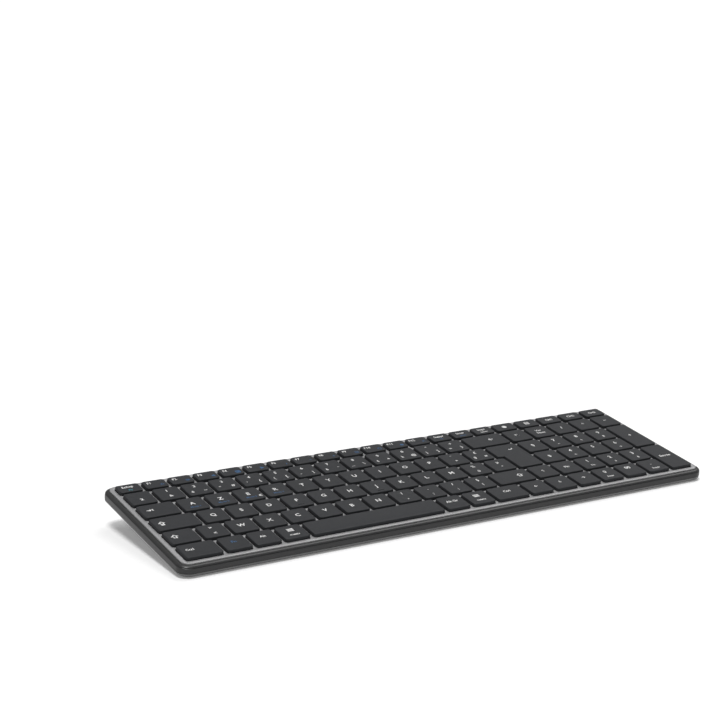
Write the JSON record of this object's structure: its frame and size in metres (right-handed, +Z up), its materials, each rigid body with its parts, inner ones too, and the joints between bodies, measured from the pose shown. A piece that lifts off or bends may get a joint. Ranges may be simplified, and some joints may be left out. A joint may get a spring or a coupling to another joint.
{
  "type": "wireless keyboard",
  "caption": "Low full-size wireless keyboard with number pad, matte keys in a light deck, charcoal rim, battery ridge and fold-out rear feet.",
  "frame": {"origin": "centre of the bounding box's underside, on the table between the feet and the front pads", "axes": "+X to the typist's right along the rows, +Y away from the typist, +Z up from the table; the deck is tilted about X so that its back is higher"},
  "size_m": [0.3854, 0.1174, 0.0253],
  "materials": {
    "keycap": "fine matte grain with printed legends",
    "deck": "satin light grey",
    "case": "fine charcoal grain",
    "cover": "fine charcoal grain",
    "guide": "plain black moulding",
    "dome_rubber": "translucent white rubber",
    "membrane_film": "clear film with printed tracks",
    "base_steel": "galvanised sheet",
    "cell_foil": "foil pouch",
    "board": "green solder mask",
    "socket_steel": "drawn shell",
    "foot": "fine charcoal grain",
    "foot_rubber": "black rubber",
    "slider": "ribbed black knob",
    "screw_steel": "zinc plated",
    "wire_steel": "drawn spring wire"
  },
  "bodies": {
    "housing": {"top_case": "case", "deck_plate": "deck", "guide_frame": "guide", "dome_sheet": "dome_rubber", "membrane": "membrane_film", "base_plate": "base_steel", "bottom_cover": "cover", "battery_cell": "cell_foil", "main_board": "board", "usb_socket": "socket_steel", "front_pads": "foot_rubber", "case_screws": "screw_steel"},
    "left_foot": {"left_foot": "foot", "left_foot_pad": "foot_rubber"},
    "right_foot": {"right_foot": "foot", "right_foot_pad": "foot_rubber"},
    "power_slider": {"power_slider": "slider"},
    "space_bar_wire": {"space_bar_wire": "wire_steel"},
    "escape_key": {"escape_key": "keycap"},
    "f1_f4_keys": {"f1_f4_keys": "keycap"},
    "f5_f8_keys": {"f5_f8_keys": "keycap"},
    "f9_f12_keys": {"f9_f12_keys": "keycap"},
    "edit_keys": {"edit_keys": "keycap"},
    "shortcut_keys": {"shortcut_keys": "keycap"},
    "left_digit_keys": {"left_digit_keys": "keycap"},
    "right_digit_keys": {"right_digit_keys": "keycap"},
    "backspace_key": {"backspace_key": "keycap"},
    "home_key": {"home_key": "keycap"},
    "operator_keys": {"operator_keys": "keycap"},
    "tab_key": {"tab_key": "keycap"},
    "left_upper_keys": {"left_upper_keys": "keycap"},
    "right_upper_keys": {"right_upper_keys": "keycap"},
    "enter_key": {"enter_key": "keycap"},
    "page_up_key": {"page_up_key": "keycap"},
    "caps_lock_key": {"caps_lock_key": "keycap"},
    "left_home_keys": {"left_home_keys": "keycap"},
    "right_home_keys": {"right_home_keys": "keycap"},
    "page_down_key": {"page_down_key": "keycap"},
    "upper_number_keys": {"upper_number_keys": "keycap"},
    "plus_key": {"plus_key": "keycap"},
    "left_shift_key": {"left_shift_key": "keycap"},
    "left_lower_keys": {"left_lower_keys": "keycap"},
    "right_lower_keys": {"right_lower_keys": "keycap"},
    "right_shift_key": {"right_shift_key": "keycap"},
    "arrow_up_key": {"arrow_up_key": "keycap"},
    "end_key": {"end_key": "keycap"},
    "lower_number_keys": {"lower_number_keys": "keycap"},
    "number_enter_key": {"number_enter_key": "keycap"},
    "left_ctrl_key": {"left_ctrl_key": "keycap"},
    "fn_key": {"fn_key": "keycap"},
    "alt_key": {"alt_key": "keycap"},
    "left_menu_key": {"left_menu_key": "keycap"},
    "space_bar": {"space_bar": "keycap"},
    "alt_gr_key": {"alt_gr_key": "keycap"},
    "right_menu_key": {"right_menu_key": "keycap"},
    "right_ctrl_key": {"right_ctrl_key": "keycap"},
    "arrow_left_key": {"arrow_left_key": "keycap"},
    "arrow_down_key": {"arrow_down_key": "keycap"},
    "arrow_right_key": {"arrow_right_key": "keycap"}
  },
  "joints": [
    {"name": "left_foot_fold", "type": "hinge", "parent": "housing", "child": "left_foot", "pos_m": [-0.13403, 0.05033, 0.00999], "axis": [-1, 0, 0], "range_deg": [0, 90]},
    {"name": "right_foot_fold", "type": "hinge", "parent": "housing", "child": "right_foot", "pos_m": [0.13403, 0.05033, 0.00999], "axis": [-1, 0, 0], "range_deg": [0, 90]},
    {"name": "power_slider_slide", "type": "slide", "parent": "housing", "child": "power_slider", "axis": [1, 0, 0], "range_m": [0, 0.0026]},
    {"name": "space_bar_press", "type": "slide", "parent": "housing", "child": "space_bar", "axis": [0, -0.1368, 0.9906], "range_m": [-0.0018, 0], "stiffness_N_per_m": 300, "deforming": ["dome_sheet"]},
    {"name": "space_bar_wire_turn", "type": "hinge", "parent": "housing", "child": "space_bar_wire", "pos_m": [-0.057, -0.04078, 0.00887], "axis": [1, 0, 0], "range_deg": [0, 12.71]},
    {"name": "escape_key_press", "type": "slide", "parent": "housing", "child": "escape_key", "axis": [0, -0.1368, 0.9906], "range_m": [-0.0018, 0], "stiffness_N_per_m": 300, "deforming": ["dome_sheet"]},
    {"name": "f1_f4_keys_press", "type": "slide", "parent": "housing", "child": "f1_f4_keys", "axis": [0, -0.1368, 0.9906], "range_m": [-0.0018, 0], "stiffness_N_per_m": 1200, "deforming": ["dome_sheet"]},
    {"name": "f5_f8_keys_press", "type": "slide", "parent": "housing", "child": "f5_f8_keys", "axis": [0, -0.1368, 0.9906], "range_m": [-0.0018, 0], "stiffness_N_per_m": 1200, "deforming": ["dome_sheet"]},
    {"name": "f9_f12_keys_press", "type": "slide", "parent": "housing", "child": "f9_f12_keys", "axis": [0, -0.1368, 0.9906], "range_m": [-0.0018, 0], "stiffness_N_per_m": 1200, "deforming": ["dome_sheet"]},
    {"name": "edit_keys_press", "type": "slide", "parent": "housing", "child": "edit_keys", "axis": [0, -0.1368, 0.9906], "range_m": [-0.0018, 0], "stiffness_N_per_m": 900, "deforming": ["dome_sheet"]},
    {"name": "shortcut_keys_press", "type": "slide", "parent": "housing", "child": "shortcut_keys", "axis": [0, -0.1368, 0.9906], "range_m": [-0.0018, 0], "stiffness_N_per_m": 1500, "deforming": ["dome_sheet"]},
    {"name": "left_digit_keys_press", "type": "slide", "parent": "housing", "child": "left_digit_keys", "axis": [0, -0.1368, 0.9906], "range_m": [-0.0018, 0], "stiffness_N_per_m": 2100, "deforming": ["dome_sheet"]},
    {"name": "right_digit_keys_press", "type": "slide", "parent": "housing", "child": "right_digit_keys", "axis": [0, -0.1368, 0.9906], "range_m": [-0.0018, 0], "stiffness_N_per_m": 1800, "deforming": ["dome_sheet"]},
    {"name": "backspace_key_press", "type": "slide", "parent": "housing", "child": "backspace_key", "axis": [0, -0.1368, 0.9906], "range_m": [-0.0018, 0], "stiffness_N_per_m": 300, "deforming": ["dome_sheet"]},
    {"name": "home_key_press", "type": "slide", "parent": "housing", "child": "home_key", "axis": [0, -0.1368, 0.9906], "range_m": [-0.0018, 0], "stiffness_N_per_m": 300, "deforming": ["dome_sheet"]},
    {"name": "operator_keys_press", "type": "slide", "parent": "housing", "child": "operator_keys", "axis": [0, -0.1368, 0.9906], "range_m": [-0.0018, 0], "stiffness_N_per_m": 1200, "deforming": ["dome_sheet"]},
    {"name": "tab_key_press", "type": "slide", "parent": "housing", "child": "tab_key", "axis": [0, -0.1368, 0.9906], "range_m": [-0.0018, 0], "stiffness_N_per_m": 300, "deforming": ["dome_sheet"]},
    {"name": "left_upper_keys_press", "type": "slide", "parent": "housing", "child": "left_upper_keys", "axis": [0, -0.1368, 0.9906], "range_m": [-0.0018, 0], "stiffness_N_per_m": 1500, "deforming": ["dome_sheet"]},
    {"name": "right_upper_keys_press", "type": "slide", "parent": "housing", "child": "right_upper_keys", "axis": [0, -0.1368, 0.9906], "range_m": [-0.0018, 0], "stiffness_N_per_m": 2100, "deforming": ["dome_sheet"]},
    {"name": "enter_key_press", "type": "slide", "parent": "housing", "child": "enter_key", "axis": [0, -0.1368, 0.9906], "range_m": [-0.0018, 0], "stiffness_N_per_m": 300, "deforming": ["dome_sheet"]},
    {"name": "page_up_key_press", "type": "slide", "parent": "housing", "child": "page_up_key", "axis": [0, -0.1368, 0.9906], "range_m": [-0.0018, 0], "stiffness_N_per_m": 300, "deforming": ["dome_sheet"]},
    {"name": "caps_lock_key_press", "type": "slide", "parent": "housing", "child": "caps_lock_key", "axis": [0, -0.1368, 0.9906], "range_m": [-0.0018, 0], "stiffness_N_per_m": 300, "deforming": ["dome_sheet"]},
    {"name": "left_home_keys_press", "type": "slide", "parent": "housing", "child": "left_home_keys", "axis": [0, -0.1368, 0.9906], "range_m": [-0.0018, 0], "stiffness_N_per_m": 1500, "deforming": ["dome_sheet"]},
    {"name": "right_home_keys_press", "type": "slide", "parent": "housing", "child": "right_home_keys", "axis": [0, -0.1368, 0.9906], "range_m": [-0.0018, 0], "stiffness_N_per_m": 2100, "deforming": ["dome_sheet"]},
    {"name": "page_down_key_press", "type": "slide", "parent": "housing", "child": "page_down_key", "axis": [0, -0.1368, 0.9906], "range_m": [-0.0018, 0], "stiffness_N_per_m": 300, "deforming": ["dome_sheet"]},
    {"name": "upper_number_keys_press", "type": "slide", "parent": "housing", "child": "upper_number_keys", "axis": [0, -0.1368, 0.9906], "range_m": [-0.0018, 0], "stiffness_N_per_m": 1800, "deforming": ["dome_sheet"]},
    {"name": "plus_key_press", "type": "slide", "parent": "housing", "child": "plus_key", "axis": [0, -0.1368, 0.9906], "range_m": [-0.0018, 0], "stiffness_N_per_m": 300, "deforming": ["dome_sheet"]},
    {"name": "left_shift_key_press", "type": "slide", "parent": "housing", "child": "left_shift_key", "axis": [0, -0.1368, 0.9906], "range_m": [-0.0018, 0], "stiffness_N_per_m": 300, "deforming": ["dome_sheet"]},
    {"name": "left_lower_keys_press", "type": "slide", "parent": "housing", "child": "left_lower_keys", "axis": [0, -0.1368, 0.9906], "range_m": [-0.0018, 0], "stiffness_N_per_m": 1500, "deforming": ["dome_sheet"]},
    {"name": "right_lower_keys_press", "type": "slide", "parent": "housing", "child": "right_lower_keys", "axis": [0, -0.1368, 0.9906], "range_m": [-0.0018, 0], "stiffness_N_per_m": 1800, "deforming": ["dome_sheet"]},
    {"name": "right_shift_key_press", "type": "slide", "parent": "housing", "child": "right_shift_key", "axis": [0, -0.1368, 0.9906], "range_m": [-0.0018, 0], "stiffness_N_per_m": 300, "deforming": ["dome_sheet"]},
    {"name": "arrow_up_key_press", "type": "slide", "parent": "housing", "child": "arrow_up_key", "axis": [0, -0.1368, 0.9906], "range_m": [-0.0018, 0], "stiffness_N_per_m": 300, "deforming": ["dome_sheet"]},
    {"name": "end_key_press", "type": "slide", "parent": "housing", "child": "end_key", "axis": [0, -0.1368, 0.9906], "range_m": [-0.0018, 0], "stiffness_N_per_m": 300, "deforming": ["dome_sheet"]},
    {"name": "lower_number_keys_press", "type": "slide", "parent": "housing", "child": "lower_number_keys", "axis": [0, -0.1368, 0.9906], "range_m": [-0.0018, 0], "stiffness_N_per_m": 1800, "deforming": ["dome_sheet"]},
    {"name": "number_enter_key_press", "type": "slide", "parent": "housing", "child": "number_enter_key", "axis": [0, -0.1368, 0.9906], "range_m": [-0.0018, 0], "stiffness_N_per_m": 300, "deforming": ["dome_sheet"]},
    {"name": "left_ctrl_key_press", "type": "slide", "parent": "housing", "child": "left_ctrl_key", "axis": [0, -0.1368, 0.9906], "range_m": [-0.0018, 0], "stiffness_N_per_m": 300, "deforming": ["dome_sheet"]},
    {"name": "fn_key_press", "type": "slide", "parent": "housing", "child": "fn_key", "axis": [0, -0.1368, 0.9906], "range_m": [-0.0018, 0], "stiffness_N_per_m": 300, "deforming": ["dome_sheet"]},
    {"name": "alt_key_press", "type": "slide", "parent": "housing", "child": "alt_key", "axis": [0, -0.1368, 0.9906], "range_m": [-0.0018, 0], "stiffness_N_per_m": 300, "deforming": ["dome_sheet"]},
    {"name": "left_menu_key_press", "type": "slide", "parent": "housing", "child": "left_menu_key", "axis": [0, -0.1368, 0.9906], "range_m": [-0.0018, 0], "stiffness_N_per_m": 300, "deforming": ["dome_sheet"]},
    {"name": "alt_gr_key_press", "type": "slide", "parent": "housing", "child": "alt_gr_key", "axis": [0, -0.1368, 0.9906], "range_m": [-0.0018, 0], "stiffness_N_per_m": 300, "deforming": ["dome_sheet"]},
    {"name": "right_menu_key_press", "type": "slide", "parent": "housing", "child": "right_menu_key", "axis": [0, -0.1368, 0.9906], "range_m": [-0.0018, 0], "stiffness_N_per_m": 300, "deforming": ["dome_sheet"]},
    {"name": "right_ctrl_key_press", "type": "slide", "parent": "housing", "child": "right_ctrl_key", "axis": [0, -0.1368, 0.9906], "range_m": [-0.0018, 0], "stiffness_N_per_m": 300, "deforming": ["dome_sheet"]},
    {"name": "arrow_left_key_press", "type": "slide", "parent": "housing", "child": "arrow_left_key", "axis": [0, -0.1368, 0.9906], "range_m": [-0.0018, 0], "stiffness_N_per_m": 300, "deforming": ["dome_sheet"]},
    {"name": "arrow_down_key_press", "type": "slide", "parent": "housing", "child": "arrow_down_key", "axis": [0, -0.1368, 0.9906], "range_m": [-0.0018, 0], "stiffness_N_per_m": 300, "deforming": ["dome_sheet"]},
    {"name": "arrow_right_key_press", "type": "slide", "parent": "housing", "child": "arrow_right_key", "axis": [0, -0.1368, 0.9906], "range_m": [-0.0018, 0], "stiffness_N_per_m": 300, "deforming": ["dome_sheet"]}
  ],
  "couplings": [
    {"joint": "space_bar_wire_turn", "follows": "space_bar_press", "rad_per_m": -122.25}
  ]
}
